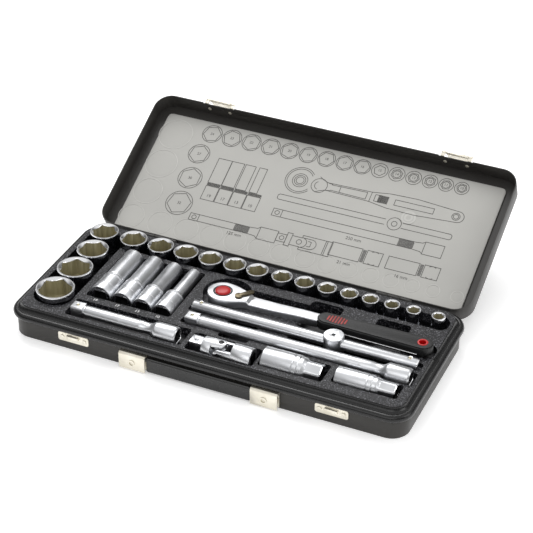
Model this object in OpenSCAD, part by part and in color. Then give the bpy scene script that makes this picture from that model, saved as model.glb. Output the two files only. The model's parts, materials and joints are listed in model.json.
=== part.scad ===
// Socket wrench set in a sheet-metal case: millimetres, +Z up.
// The origin is the centre of the case's underside, with the hinge at the back (+Y).
// The lid stands open at rest and every tool lies in its place in the tray.

/* [Case] */
// Length of the case along X
case_w = 444; // [440:1:452]
// Depth of the case along Y
case_d = 186; // [184:1:190]
// Outer corner radius of both halves
corner_r = 20; // [18:1:21]
// Sheet thickness of both shells
sheet = 1; // [0.8:0.1:1]
// Height of the lid from its rim to its top
lid_h = 21.6; // [21.6:0.2:24]
// Angle between the closed lid and the open one
lid_open = 154; // [95:1:156]

/* [Tray] */
// Height of the tray's top surface
tray_top = 35.2; // [34.8:0.1:35.2]
// Wall thickness of the moulded tray
tray_wall = 1.4; // [1.2:0.1:1.5]
// Gap left round every tool in its pocket
pocket_gap = 0.6; // [0.4:0.1:0.6]

/* [Tools] */
// Side of the square drive
drive = 12.7; // [12.5:0.1:12.9]
// Height of the top of the standing sockets
socket_top = 42.5; // [42:0.1:43]
// Diameter of the smallest socket's drive end
drive_end_d = 22; // [21.4:0.2:22]
// Length of the long extension bar
long_bar = 250; // [248:1:250]
// Length of the short extension bar
short_bar = 124; // [122:1:124]
// Length of the sliding T-bar's rod
t_bar = 252; // [248:1:252]

/* [Hidden] */
$fn = 48;
EPS = 0.01;
FIT = 0.06;

// Standing sockets: size across flats, outer diameter, place x and y, turn of the hexagon
ROW_Y = 66.8;
COL_X = -189;
SOCKETS = [
  [10, 15.2, 200, ROW_Y, 20], [11, 16.4, 172.5, ROW_Y, 50], [12, 17.6, 148.5, ROW_Y, 5],
  [13, 19, 124, ROW_Y, 35], [14, 20.4, 100, ROW_Y, 12], [15, 21.6, 74.5, ROW_Y, 48],
  [16, 22.8, 48.5, ROW_Y, 28], [17, 23.6, 22, ROW_Y, 8], [18, 25, -7, ROW_Y, 40],
  [19, 26, -34, ROW_Y, 22], [20, 27.4, -63, ROW_Y, 33], [21, 28, -93, ROW_Y, 18],
  [22, 29.6, -124, ROW_Y, 44], [23, 31, -157.5, ROW_Y, 30], [24, 32, -194, ROW_Y, 10],
  [27, 35.6, COL_X, 30, 26], [30, 39.6, COL_X, -9.6, 53], [32, 42, COL_X, -52.6, 34]];
SOCKET_H = 39;
SMALL_SOCKET_H = 37;
SMALL_SIZE = 17;

// Deep sockets, lying along Y: size, drive-end diameter, hexagon-end diameter, place x
DEEP = [[19, 25.4, 23.8, -144.5], [17, 24, 21.8, -118.5], [13, 22.6, 18.4, -94.5], [10, 21.8, 15, -70.7]];
DEEP_Y = [-36.5, 43.5];
DEEP_Z = 33;
DEEP_DRIVE_L = 31;

// Spark-plug sockets, lying along X: size, outer diameter, first x, y, z
SPARK_21 = [21, 27.6, 60, -64, 32.4];
SPARK_16 = [16, 22, 138.5, -62, 34];
SPARK_L = 64;
SPARK_HEX_L = 17;

// Extension bars along X: first x, y, z
LONG_BAR = [-42, -37, 36];
SHORT_BAR = [-159, -70, 36];
BAR_D = 13.2;
BAR_END_D = 20;
BAR_END_L = 25;
MALE_L = 16;

// Sliding T-bar
T_ROD = [-44, -15, 37.6];
T_ROD_D = 12;
T_HEAD_X = 115.5;
T_HEAD_D = 22;
T_HEAD_TOP = 47.2;
T_HEAD_H = 25;
T_GROOVE_X = 80;

// Universal joint, lying along X
UJ = [15.5, -71.5, 34.5];
UJ_L = [-34, 35];
UJ_R = 11;
UJ_END_R = 11.4;
UJ_ARM = 5.9;
UJ_GAP = 6.3;
UJ_DRIVE_BASE = -9.5;
UJ_SOCKET_BASE = 14;
UJ_PIN_R = 3;

// Ratchet
RH = [-22.5, 12.5];
RH_R = 16.6;
RH_Z = [28, 44.6];
GEAR_R = 12.4;
GEAR_Z = [30, 41];
HUB_R = 10.4;
BUTTON_R = 8.2;
BUTTON_TRAVEL = 2.5;
LEVER = [-3, 10];
LEVER_TURN = 48;
LEVER_L = 15;
SHANK_Z = [33.5, 42.2];
SHANK_X = [5, 86];
GRIP_X = [96, 202];
GRIP_R = [9.6, 11.2];
GRIP_Z = [35.1, 45.4];
CORE_Z = [32.6, 35];
HANG_R = 3.6;
PAD_X = 108;

// Case details
RIM_Z = 29.6;
LID_TOP = RIM_Z + lid_h;
SKIRT_IN = 6;
BEAD_R = 4.3;
BEAD_Z = 25;
BASE_WALL_H = 24;
HINGE = [case_d / 2 + 2.5, RIM_Z + 0.4];
HINGE_X = 140;
HINGE_W = 40;
KNUCKLE_R = 2.2;
PIN_R = 1.2;
LEAF = 1;
LATCH_X = 146;
LATCH_W = 36;
HASP_W = 26;
HASP_AXIS = [-case_d / 2 - 5.4, RIM_Z + 1.6];
HASP_R = 1.8;
HASP_OPEN = 168;
BRACKET_X = 74.5;
BRACKET_W = 30;
BRACKET_OUT = 6.6;
HANDLE_AXIS = [-case_d / 2 - 3.2, 16.6];
HANDLE_BAR_R = 1.6;
HANDLE_T = 1.8;
HANDLE_Z = [2, 19.2];
TROUGH_Z = 20;
LINER_IN = 13.2;
LINER_BACK = 2.6;
LINER_T = 2.4;
LINER_R = 6;
RIVET_R = 1.2;
RIVET_HEAD_R = 2.2;
RIVET_HEAD = 0.7;

CASE_COL = [0.2, 0.19, 0.18];
TRAY_COL = [0.23, 0.23, 0.25];
NICKEL = [0.84, 0.81, 0.72];
CHROME = [0.83, 0.84, 0.86];
FOAM_COL = [0.7, 0.7, 0.67];
RED = [0.75, 0.08, 0.08];
BLACK = [0.08, 0.08, 0.08];

// ---------- helpers ----------

// Rounded rectangle between two corners, with true arcs; grow widens it all round
module rounded(x0, x1, y0, y1, r, grow = 0) {
  g = grow;
  translate([x0 - g + r + g, y0 - g]) square([x1 - x0 - 2 * r, y1 - y0 + 2 * g]);
  translate([x0 - g, y0 + r]) square([x1 - x0 + 2 * g, y1 - y0 - 2 * r]);
  for (x = [x0 + r, x1 - r])
    for (y = [y0 + r, y1 - r])
      translate([x, y]) circle(r + g);
}

// Outline of the case, drawn in by inset
module case_outline(inset) {
  rounded(-case_w / 2 + inset, case_w / 2 - inset, -case_d / 2 + inset, case_d / 2 - inset,
          corner_r - inset);
}

// Extrusion between two heights
module span(z0, z1) {
  translate([0, 0, z0]) linear_extrude(z1 - z0) children();
}

// Cylinder along X
module rod_x(x0, x1, y, z, r) {
  translate([x0, y, z]) rotate([0, 90, 0]) cylinder(r = r, h = x1 - x0);
}

// Cylinder along Y
module rod_y(y0, y1, x, z, r) {
  translate([x, y1, z]) rotate([90, 0, 0]) cylinder(r = r, h = y1 - y0);
}

// Cone along X
module cone_x(x0, x1, y, z, r0, r1) {
  translate([x0, y, z]) rotate([0, 90, 0]) cylinder(r1 = r0, r2 = r1, h = x1 - x0);
}

// Box between two corners
module block(a, b) {
  translate(a) cube(b - a);
}

// Hexagonal prism along Z, size across flats
module hex_prism(af, h, turn) {
  rotate(turn) cylinder(r = af / sqrt(3), h = h, $fn = 6);
}

// Moves the closed lid to its open place
module opened() {
  translate([0, HINGE.x, HINGE.y])
    rotate([-lid_open, 0, 0])
      translate([0, -HINGE.x, -HINGE.y])
        children();
}

// Sweeps a profile round the case: x of the profile runs outwards from the corner centres
module round_case() {
  cx = case_w / 2 - corner_r;
  cy = case_d / 2 - corner_r;
  for (q = [0 : 3])
    translate([(q == 0 || q == 3 ? 1 : -1) * cx, (q < 2 ? 1 : -1) * cy, 0])
      rotate(90 * q)
        rotate_extrude(angle = 90) children();
  for (s = [-1, 1]) {
    translate([s * cx, -s * cy, 0])
      rotate(s > 0 ? 0 : 180)
        rotate([90, 0, 0])
          mirror([0, 0, 1]) linear_extrude(2 * cy) children();
    translate([s * cx, s * cy, 0])
      rotate(90 * s)
        rotate([90, 0, 0])
          mirror([0, 0, 1]) linear_extrude(2 * cx) children();
  }
}

// ---------- rivets ----------

// Places of the rivets along Y: x, z; side -1 is the front wall, 1 the back wall
function base_rivets_at(side) = side < 0
  ? [for (s = [-1, 1], d = [-13, 13]) [s * LATCH_X + d, 15],
     for (s = [-1, 1], d = [-9, 9]) [s * BRACKET_X + d, 6.5]]
  : [for (s = [-1, 1], d = [-13, 13]) [s * HINGE_X + d, 13]];
function lid_rivets_at(side) = side < 0
  ? [for (s = [-1, 1], d = [-13, 13]) [s * LATCH_X + d, 39]]
  : [for (s = [-1, 1], d = [-13, 13]) [s * HINGE_X + d, 42]];

// Shanks that pass through the wall and the plate on it
module rivet_holes(places, side) {
  y0 = side < 0 ? -case_d / 2 - LEAF - 0.1 : case_d / 2 - sheet - 0.1;
  for (p = places) rod_y(y0, y0 + sheet + LEAF + 0.2, p.x, p.y, RIVET_R + 0.02);
}

module rivets(places, side) {
  inner = case_d / 2 - sheet;
  outer = case_d / 2 + LEAF;
  for (p = places)
    scale([1, side, 1]) {
      rod_y(inner - RIVET_HEAD, outer + RIVET_HEAD, p.x, p.y, RIVET_R);
      rod_y(inner - RIVET_HEAD, inner, p.x, p.y, RIVET_HEAD_R);
      rod_y(outer, outer + RIVET_HEAD, p.x, p.y, RIVET_HEAD_R);
    }
}

// ---------- case ----------

module base_shell() {
  color(CASE_COL)
    difference() {
      span(0, BASE_WALL_H) case_outline(0);
      span(sheet, BASE_WALL_H + 1) case_outline(sheet);
      for (side = [-1, 1]) rivet_holes(base_rivets_at(side), side);
    }
}

// Section of the tray's skirt, its flare and the bead that hooks over the base wall
module skirt_profile() {
  wall_r = corner_r - SKIRT_IN;
  flare_r = SKIRT_IN + 0.3;
  difference() {
    union() {
      translate([wall_r - 1.8, 19]) square([1.8, tray_top - 19]);
      difference() {
        translate([wall_r - EPS, 21]) square([corner_r - wall_r, tray_top - 22]);
        translate([wall_r + flare_r, tray_top]) circle(flare_r);
      }
      translate([corner_r - 0.2, BEAD_Z]) circle(BEAD_R);
    }
    translate([corner_r - sheet - 0.05, 0]) square([sheet + 0.1, BASE_WALL_H + 0.05]);
  }
}

function socket_h(size) = size < SMALL_SIZE ? SMALL_SOCKET_H : SOCKET_H;
function socket_r(s) = max(s[1], drive_end_d) / 2;

// Outlines of the tray's pockets, by what they hold
module bay_outline(g) { rounded(-158.5, -58.5, -42.3, 45.4, 3, g); }
module short_bar_outline(g) { rounded(-163, -27, -81.5, -52, 3, g); }
module t_bar_outline(g) { rounded(-48, 212, T_ROD.y - 6.6, T_ROD.y + 6.6, 3, g); }
module t_head_outline(g) { rounded(68, 181, -27.2, -2.6, 3, g); }
module long_bar_outline(g) {
  rounded(-46, 212, LONG_BAR.y - 7.4, LONG_BAR.y + 7.4, 3, g);
  rounded(178, 212, LONG_BAR.y - 10.8, LONG_BAR.y + 10.8, 3, g);
}
module trough_outline(g) {
  rounded(-205, 213, 52.5, 75.5, 9, g);
  rounded(-211.4, -167.2, -74.4, 75.5, 18, g);
}
module joint_outline(g) { rounded(-22, 54.5, -84.4, -54, 4, g); }
module scoop_outline(g) { rounded(0, 34, -51, -8.5, 4, g); }
module spark_21_outline(g) { rounded(57.5, 128, -78.8, -49.4, 3, g); }
module spark_16_outline(g) { rounded(135.5, 206, -73.8, -50.2, 3, g); }
module ratchet_outline(g) {
  translate(RH) circle(22 + g);
  translate([RH.x, RH.y + 11]) circle(26.5 + g);
  rounded(-20, 92, 8.4, 38.6, 3, g);
  hull() {
    translate(RH) circle(RH_R + 1.4 + g);
    translate([RH.x + 40, RH.y]) circle(6 + g);
  }
  hull() {
    translate([SHANK_X.x, RH.y]) circle(6 + g);
    translate([SHANK_X.y, RH.y]) circle(7.6 + g);
  }
  rounded(80, 216.5, RH.y - 12.8, RH.y + 13.4, 11, g);
}
module finger_outline(g) {
  rounded(67, 103, -1.5, 48, 5, g);
  rounded(142, 179, -1.5, 47, 5, g);
}
module anvil_outline(g) { translate(RH) circle(11.5 + g); }
module sockets_outline(small, g) {
  for (s = SOCKETS)
    if ((s[0] < SMALL_SIZE) == small)
      translate([s[2], s[3]]) circle(socket_r(s) + pocket_gap + g);
}

// Floor height of each pocket, with its outline as the child
module pockets(grow, drop) {
  z1 = grow > 0 ? tray_top : tray_top + 1;
  span(socket_top - SOCKET_H - 0.2 - drop, z1) sockets_outline(false, grow);
  span(socket_top - SMALL_SOCKET_H - 0.2 - drop, z1) sockets_outline(true, grow);
  span(TROUGH_Z - drop, z1) trough_outline(grow);
  span(DEEP_Z - 12.7 - drop, z1) bay_outline(grow);
  span(SHORT_BAR.z - 10.3 - drop, z1) short_bar_outline(grow);
  span(T_ROD.z - 6.3 - drop, z1) t_bar_outline(grow);
  span(8.6 - drop, z1) t_head_outline(grow);
  span(LONG_BAR.z - 10.3 - drop, z1) long_bar_outline(grow);
  span(UJ.z - 12 - drop, z1) joint_outline(grow);
  span(20 - drop, z1) scoop_outline(grow);
  span(SPARK_21[4] - 14.1 - drop, z1) spark_21_outline(grow);
  span(SPARK_16[4] - 11.3 - drop, z1) spark_16_outline(grow);
  span(27 - drop, z1) ratchet_outline(grow);
  span(18 - drop, z1) finger_outline(grow);
  span(11.5 - drop, z1) anvil_outline(grow);
}

module tray_insert() {
  color(TRAY_COL)
    difference() {
      union() {
        span(tray_top - 2, tray_top) case_outline(SKIRT_IN);
        pockets(tray_wall, tray_wall);
        round_case() skirt_profile();
      }
      pockets(0, 0);
      for (s = [-1, 1])
        block([s * HINGE_X - HINGE_W / 2 - 1, case_d / 2 - sheet - 0.4, BEAD_Z - 6],
              [s * HINGE_X + HINGE_W / 2 + 1, case_d / 2 + 10, RIM_Z]);
    }
}

module latch_keepers() {
  y = -case_d / 2;
  color(NICKEL)
    difference() {
      for (s = [-1, 1]) {
        x = s * LATCH_X;
        translate([0, y, 0])
          rotate([90, 0, 0])
            linear_extrude(LEAF) rounded(x - LATCH_W / 2, x + LATCH_W / 2, 9.6, 20.2, 2.5);
        block([x - 7, y - 3.6, 15.2], [x + 7, y - LEAF + EPS, 18.4]);
      }
      for (s = [-1, 1])
        block([s * LATCH_X - 5.6, y - 2.6, 14], [s * LATCH_X + 5.6, y - LEAF, 17.4]);
      rivet_holes(base_rivets_at(-1), -1);
    }
}

module handle_brackets() {
  y = -case_d / 2;
  color(NICKEL)
    for (s = [-1, 1]) {
      x0 = s * BRACKET_X - BRACKET_W / 2;
      x1 = x0 + BRACKET_W;
      difference() {
        union() {
          block([x0, y - LEAF, 1.2], [x1, y, 20.2]);
          block([x0, y - BRACKET_OUT, 1.2], [x1, y - BRACKET_OUT + LEAF, 18.6]);
          translate([x0, y - BRACKET_OUT, 17.6])
            rotate([90, 0, 90])
              linear_extrude(BRACKET_W)
                polygon([[0, 1], [2.2, 2.6], [BRACKET_OUT, 2.6], [BRACKET_OUT, 1.6], [2.6, 1.6], [LEAF, 0.4],
                         [LEAF, -0.4], [0, -0.4]]);
          rod_x(x0, x1, HANDLE_AXIS.x, HANDLE_AXIS.y, HANDLE_BAR_R + 1.1);
          rod_y(y - BRACKET_OUT - 0.8, y - BRACKET_OUT + EPS, s * BRACKET_X, 9.5, 3.8);
        }
        rod_x(x0 - 1, x1 + 1, HANDLE_AXIS.x, HANDLE_AXIS.y, HANDLE_BAR_R + FIT);
        rod_y(y - BRACKET_OUT - 1, y - BRACKET_OUT + 0.4, s * BRACKET_X, 9.5, 2.6);
        rivet_holes(base_rivets_at(-1), -1);
      }
    }
}

// Strap handle, with a round bar at each end that turns in its bracket
module carry_handle() {
  inner = BRACKET_X - BRACKET_W / 2 - 0.8;
  y = HANDLE_AXIS.x;
  color(BLACK) {
    difference() {
      translate([0, y + HANDLE_T / 2, 0])
        rotate([90, 0, 0])
          linear_extrude(HANDLE_T) rounded(-inner, inner, HANDLE_Z.x, HANDLE_Z.y, 2);
      rod_x(-inner - 1, inner + 1, y, HANDLE_AXIS.y, HANDLE_BAR_R - EPS);
    }
    rod_x(-BRACKET_X - BRACKET_W / 2 + 1, BRACKET_X + BRACKET_W / 2 - 1, y, HANDLE_AXIS.y, HANDLE_BAR_R);
  }
}

// One leaf of both hinges: knuckle spans along X, plate heights, web heights
module hinge_leaf(knuckles, plate, web) {
  y = case_d / 2;
  for (s = [-1, 1]) {
    x = s * HINGE_X;
    block([x - HINGE_W / 2, y, plate.x], [x + HINGE_W / 2, y + LEAF, plate.y]);
    for (k = knuckles) {
      block([x + k.x, y, min(web.x, plate.x)], [x + k.y, y + LEAF, max(web.y, plate.y)]);
      difference() {
        union() {
          rod_x(x + k.x, x + k.y, HINGE.x, HINGE.y, KNUCKLE_R);
          block([x + k.x, y, web.x], [x + k.y, HINGE.x, web.y]);
        }
        rod_x(x + k.x - 1, x + k.y + 1, HINGE.x, HINGE.y, PIN_R + FIT);
      }
    }
  }
}

module hinge_base_leaves() {
  color(NICKEL)
    difference() {
      hinge_leaf([[-HINGE_W / 2, -7.2], [7.2, HINGE_W / 2]], [5, 27], [HINGE.y - 1.6, HINGE.y + 0.2]);
      rivet_holes(base_rivets_at(1), 1);
    }
}

module hinge_pins() {
  color(NICKEL)
    for (s = [-1, 1])
      rod_x(s * HINGE_X - HINGE_W / 2 - 0.6, s * HINGE_X + HINGE_W / 2 + 0.6, HINGE.x, HINGE.y, PIN_R);
}

module base_rivets() {
  color(NICKEL) for (side = [-1, 1]) rivets(base_rivets_at(side), side);
}

module lid_shell() {
  color(CASE_COL)
    opened()
      difference() {
        span(RIM_Z, LID_TOP) case_outline(0);
        span(RIM_Z - 1, LID_TOP - sheet) case_outline(sheet);
        for (s = [-1, 1])
          block([s * LATCH_X - 20, -case_d / 2 - 1, RIM_Z - 1],
                [s * LATCH_X + 20, -case_d / 2 + sheet + 1, RIM_Z + 1.6]);
        for (side = [-1, 1]) rivet_holes(lid_rivets_at(side), side);
      }
}

module lid_liner() {
  x = case_w / 2 - LINER_IN;
  y0 = LINER_IN - case_d / 2;
  y1 = case_d / 2 - LINER_BACK;
  color(FOAM_COL)
    opened()
      span(LID_TOP - sheet - LINER_T, LID_TOP - sheet) rounded(-x, x, y0, y1, LINER_R);
}

module hinge_lid_leaves() {
  color(NICKEL)
    opened()
      difference() {
        hinge_leaf([[-6.9, 6.9]], [HINGE.y + 2.6, 47], [HINGE.y - 0.2, HINGE.y + 1.6]);
        rivet_holes(lid_rivets_at(1), 1);
      }
}

module lid_rivets() {
  color(NICKEL) opened() for (side = [-1, 1]) rivets(lid_rivets_at(side), side);
}

// Plates on the lid's front wall, each with two knuckles and the pin that its hasp turns on
module latch_mounts() {
  y = -case_d / 2;
  color(NICKEL)
    opened()
      for (s = [-1, 1]) {
        x = s * LATCH_X;
        difference() {
          union() {
            block([x - LATCH_W / 2, y - LEAF, HASP_AXIS.y + 2.4], [x + LATCH_W / 2, y, 45]);
            for (e = [-1, 1]) {
              a = x + e * (LATCH_W / 2 - 2) - 2;
              block([a, y - LEAF, HASP_AXIS.y - 1], [a + 4, y, HASP_AXIS.y + 3]);
              block([a, HASP_AXIS.x, HASP_AXIS.y - 1], [a + 4, y, HASP_AXIS.y + 1]);
              rod_x(a, a + 4, HASP_AXIS.x, HASP_AXIS.y, HASP_R);
            }
            rod_x(x - LATCH_W / 2, x + LATCH_W / 2, HASP_AXIS.x, HASP_AXIS.y, 0.9);
          }
          rivet_holes(lid_rivets_at(-1), -1);
        }
      }
}

// Hasp as it lies over the bead and under the keeper's tongue, folded back at rest
module hasp(x) {
  y = HASP_AXIS.x;
  z = HASP_AXIS.y;
  color(NICKEL)
    opened()
      translate([0, y, z])
        rotate([-HASP_OPEN, 0, 0])
          translate([0, -y, -z])
            difference() {
              union() {
                rod_x(x - HASP_W / 2, x + HASP_W / 2, y, z, HASP_R);
                block([x - HASP_W / 2, y - 0.5, 13], [x + HASP_W / 2, y + 0.5, z - 0.5]);
                block([x - 7, y - 0.5, 13], [x + 7, y + 3.5, 14]);
              }
              rod_x(x - HASP_W, x + HASP_W, y, z, 0.9 + FIT);
            }
}

module latch_hasp_left() { hasp(-LATCH_X); }
module latch_hasp_right() { hasp(LATCH_X); }

// ---------- sockets ----------

// Standing socket with its hexagon up: stepped body, chamfered mouth, square drive below
module socket(s) {
  af = s[0];
  r = s[1] / 2;
  h = socket_h(af);
  drive_r = min(socket_r(s), max(drive_end_d / 2, r - 1));
  mouth_r = min(r - 0.8, af / sqrt(3) + 0.5);
  color(CHROME)
    translate([s[2], s[3], socket_top - h])
      difference() {
        union() {
          cylinder(r1 = drive_r - 0.8, r2 = drive_r, h = 0.8 + EPS);
          translate([0, 0, 0.8]) cylinder(r = drive_r, h = h / 2 - 0.8);
          translate([0, 0, h / 2 - EPS]) cylinder(r1 = drive_r, r2 = r, h = 2 + 2 * EPS);
          translate([0, 0, h / 2 + 2]) cylinder(r = r, h = h / 2 - 2.6);
          translate([0, 0, h - 0.6 - EPS]) cylinder(r1 = r, r2 = r - 0.6, h = 0.6 + EPS);
        }
        translate([0, 0, h * 0.45]) hex_prism(af, h, s[4]);
        translate([0, 0, h - 1.5]) cylinder(r1 = mouth_r - 1.5, r2 = mouth_r + EPS, h = 1.5 + EPS);
        translate([-drive / 2, -drive / 2, -1]) cube([drive, drive, 15]);
        cylinder(r = min(af, drive) * 0.42, h = h);
      }
}

// Deep socket along Y, drive end to the front
module deep_socket(d) {
  len = DEEP_Y.y - DEEP_Y.x;
  r0 = d[1] / 2;
  r1 = d[2] / 2;
  color(CHROME)
    translate([d[3], DEEP_Y.x, DEEP_Z])
      rotate([-90, 0, 0])
        difference() {
          union() {
            cylinder(r1 = r0 - 0.7, r2 = r0, h = 0.7 + EPS);
            translate([0, 0, 0.7]) cylinder(r = r0, h = DEEP_DRIVE_L - 0.7);
            translate([0, 0, DEEP_DRIVE_L - EPS]) cylinder(r1 = r0, r2 = r1, h = 2 + 2 * EPS);
            translate([0, 0, DEEP_DRIVE_L + 2]) cylinder(r = r1, h = len - DEEP_DRIVE_L - 2.6);
            translate([0, 0, len - 0.6 - EPS]) cylinder(r1 = r1, r2 = r1 - 0.6, h = 0.6 + EPS);
          }
          translate([0, 0, len - 30]) hex_prism(d[0], 31, 30);
          translate([0, 0, len - 1.2])
            cylinder(r1 = d[0] / sqrt(3) - 1.2, r2 = d[0] / sqrt(3) + 0.1, h = 1.2 + EPS);
          translate([-drive / 2, -drive / 2, -1]) cube([drive, drive, 16]);
          cylinder(r = d[0] * 0.42, h = len);
        }
}

// Spark-plug socket along X: plug mouth to the left, wrench hexagon with the drive to the right
module spark_socket(p) {
  r = p[1] / 2;
  body = SPARK_L - SPARK_HEX_L;
  color(CHROME)
    translate([p[2], p[3], p[4]])
      rotate([0, 90, 0])
        difference() {
          union() {
            cylinder(r1 = r - 0.6, r2 = r, h = 0.6 + EPS);
            translate([0, 0, 0.6]) cylinder(r = r, h = body - 8.6);
            translate([0, 0, body - 8 - EPS]) cylinder(r1 = r, r2 = r - 0.8, h = 0.8 + 2 * EPS);
            translate([0, 0, body - 7.2]) cylinder(r = r - 0.8, h = 4.2);
            translate([0, 0, body - 3 - EPS]) cylinder(r1 = r - 0.8, r2 = r - 2.6, h = 3 + 2 * EPS);
            translate([0, 0, body]) hex_prism((r - 2.4) * sqrt(3), SPARK_HEX_L, 0);
          }
          translate([0, 0, -1]) hex_prism(p[0], 41, 30);
          translate([0, 0, SPARK_L - 15]) translate([-drive / 2, -drive / 2, 0]) cube([drive, drive, 16]);
          cylinder(r = drive * 0.42, h = SPARK_L);
        }
}

// Rubber ring that grips the plug's insulator
module spark_insert(p) {
  color(BLACK)
    translate([p[2] + 26, p[3], p[4]])
      rotate([0, 90, 0])
        difference() {
          cylinder(r = p[0] / 2 - 0.05, h = 12);
          translate([0, 0, -1]) cylinder(r = p[0] / 2 - 3, h = 14);
        }
}

// ---------- bars ----------

// Ball set in the upper face of a square drive or rod that ends at x
module detent(x, y, z, r) {
  translate([x, y, z]) sphere(r = r);
}
BALL_R = 2.1;
BALL_SINK = 0.8;

// Extension bar along X: square drive to the left, drive socket to the right
module extension(at, len) {
  x1 = at.x + len;
  half = drive / 2 - 0.1;
  color(CHROME)
    difference() {
      union() {
        block([at.x + 0.8, at.y - half, at.z - half], [at.x + MALE_L, at.y + half, at.z + half]);
        intersection() {
          block([at.x, at.y - half, at.z - half], [at.x + 1, at.y + half, at.z + half]);
          cone_x(at.x, at.x + 2, at.y, at.z, half + 0.9, half + 3.4);
        }
        rod_x(at.x + MALE_L, x1 - BAR_END_L, at.y, at.z, BAR_D / 2);
        cone_x(x1 - BAR_END_L - 6, x1 - BAR_END_L + 1, at.y, at.z, BAR_D / 2, BAR_END_D / 2 - 0.6);
        rod_x(x1 - BAR_END_L + 1, x1 - 0.6, at.y, at.z, BAR_END_D / 2);
        cone_x(x1 - 0.6 - EPS, x1, at.y, at.z, BAR_END_D / 2, BAR_END_D / 2 - 0.6);
      }
      block([x1 - MALE_L, at.y - drive / 2, at.z - drive / 2], [x1 + 1, at.y + drive / 2, at.z + drive / 2]);
      detent(at.x + 7.5, at.y, at.z + half - BALL_SINK, BALL_R + 0.02);
    }
}

module extension_ball(at) {
  color(NICKEL) detent(at.x + 7.5, at.y, at.z + drive / 2 - 0.1 - BALL_SINK, BALL_R);
}

module extension_125() { extension(SHORT_BAR, short_bar); }
module extension_125_ball() { extension_ball(SHORT_BAR); }
module extension_250() { extension(LONG_BAR, long_bar); }
module extension_250_ball() { extension_ball(LONG_BAR); }

module t_bar_balls_shape(r) {
  for (x = [T_ROD.x + 9.5, T_ROD.x + t_bar - 9.5])
    detent(x, T_ROD.y, T_ROD.z + T_ROD_D / 2 - BALL_SINK, r);
}

module t_bar_rod() {
  r = T_ROD_D / 2;
  color(CHROME)
    difference() {
      union() {
        cone_x(T_ROD.x, T_ROD.x + 0.8 + EPS, T_ROD.y, T_ROD.z, r - 0.8, r);
        rod_x(T_ROD.x + 0.8, T_ROD.x + t_bar - 0.8, T_ROD.y, T_ROD.z, r);
        cone_x(T_ROD.x + t_bar - 0.8 - EPS, T_ROD.x + t_bar, T_ROD.y, T_ROD.z, r, r - 0.8);
      }
      difference() {
        rod_x(T_GROOVE_X, T_GROOVE_X + 0.6, T_ROD.y, T_ROD.z, r + 1);
        rod_x(T_GROOVE_X - 1, T_GROOVE_X + 2, T_ROD.y, T_ROD.z, r - 0.3);
      }
      t_bar_balls_shape(BALL_R + 0.02);
    }
}

module t_bar_balls() { color(NICKEL) t_bar_balls_shape(BALL_R); }

module t_bar_head() {
  r = T_HEAD_D / 2;
  half = drive / 2 - 0.1;
  z0 = T_HEAD_TOP - T_HEAD_H;
  color(CHROME)
    difference() {
      translate([T_HEAD_X, T_ROD.y, 0]) {
        translate([0, 0, z0]) cylinder(r1 = r - 1, r2 = r, h = 1 + EPS);
        translate([0, 0, z0 + 1]) cylinder(r = r, h = T_HEAD_H - 1.8);
        translate([0, 0, T_HEAD_TOP - 0.8 - EPS]) cylinder(r1 = r, r2 = r - 0.8, h = 0.8 + EPS);
        block([-half, -half, z0 - 13], [half, half, z0 + EPS]);
      }
      rod_x(T_HEAD_X - r - 1, T_HEAD_X + r + 1, T_ROD.y, T_ROD.z, T_ROD_D / 2 + FIT);
      translate([T_HEAD_X, T_ROD.y, T_HEAD_TOP - 2.4]) cylinder(r = 2, h = 3);
    }
}

// ---------- universal joint ----------

// Half-round arm beside the cross: turn 0 lies above and below it, 90 in front and behind
module yoke_arms(x_base, turn, r) {
  rotate([turn, 0, 0])
    difference() {
      intersection() {
        union() {
          block([min(x_base, 0), -UJ_ARM, -r], [max(x_base, 0), UJ_ARM, r]);
          cylinder(r = UJ_ARM, h = 2 * r, center = true);
        }
        rod_x(-40, 40, 0, 0, r);
      }
      block([-20, -20, -UJ_GAP], [20, 20, UJ_GAP]);
      cylinder(r = UJ_PIN_R + FIT, h = 3 * r, center = true);
    }
}

module joint_drive_yoke() {
  half = drive / 2 - 0.1;
  ball_x = UJ_L.x + 6.5;
  color(CHROME)
    translate(UJ) {
      difference() {
        union() {
          block([UJ_L.x, -half, -half], [UJ_L.x + 14, half, half]);
          cone_x(UJ_L.x + 14 - EPS, UJ_L.x + 15, 0, 0, UJ_R - 1, UJ_R);
          rod_x(UJ_L.x + 15 - EPS, UJ_DRIVE_BASE, 0, 0, UJ_R);
        }
        detent(ball_x, 0, half - BALL_SINK, BALL_R + 0.02);
      }
      detent(ball_x, 0, half - BALL_SINK, BALL_R);
      yoke_arms(UJ_DRIVE_BASE - EPS, 0, UJ_R);
    }
}

module joint_cross() {
  c = 5.8;
  color(CHROME)
    translate(UJ)
      difference() {
        intersection() {
          block([-c, -c, -c], [c, c, c]);
          sphere(r = c * 1.5);
        }
        cylinder(r = UJ_PIN_R + 0.01, h = 20, center = true);
        rod_y(-10, 10, 0, 0, UJ_PIN_R + 0.01);
      }
}

module joint_pins() {
  color(NICKEL)
    translate(UJ) {
      cylinder(r = UJ_PIN_R, h = 2 * UJ_R - 1, center = true);
      for (s = [-1, 1])
        scale([1, s, 1])
          difference() {
            rod_y(0, UJ_R - 0.5, 0, 0, UJ_PIN_R);
            cylinder(r = UJ_PIN_R + 0.02, h = 10, center = true);
          }
    }
}

module joint_socket_yoke() {
  color(CHROME)
    translate(UJ) {
      difference() {
        union() {
          rod_x(UJ_SOCKET_BASE, UJ_L.y - 0.6, 0, 0, UJ_END_R);
          cone_x(UJ_L.y - 0.6 - EPS, UJ_L.y, 0, 0, UJ_END_R, UJ_END_R - 0.6);
        }
        block([UJ_L.y - 15, -drive / 2, -drive / 2], [UJ_L.y + 1, drive / 2, drive / 2]);
      }
      yoke_arms(UJ_SOCKET_BASE + EPS, 90, UJ_R);
    }
}

// ---------- ratchet ----------

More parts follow.
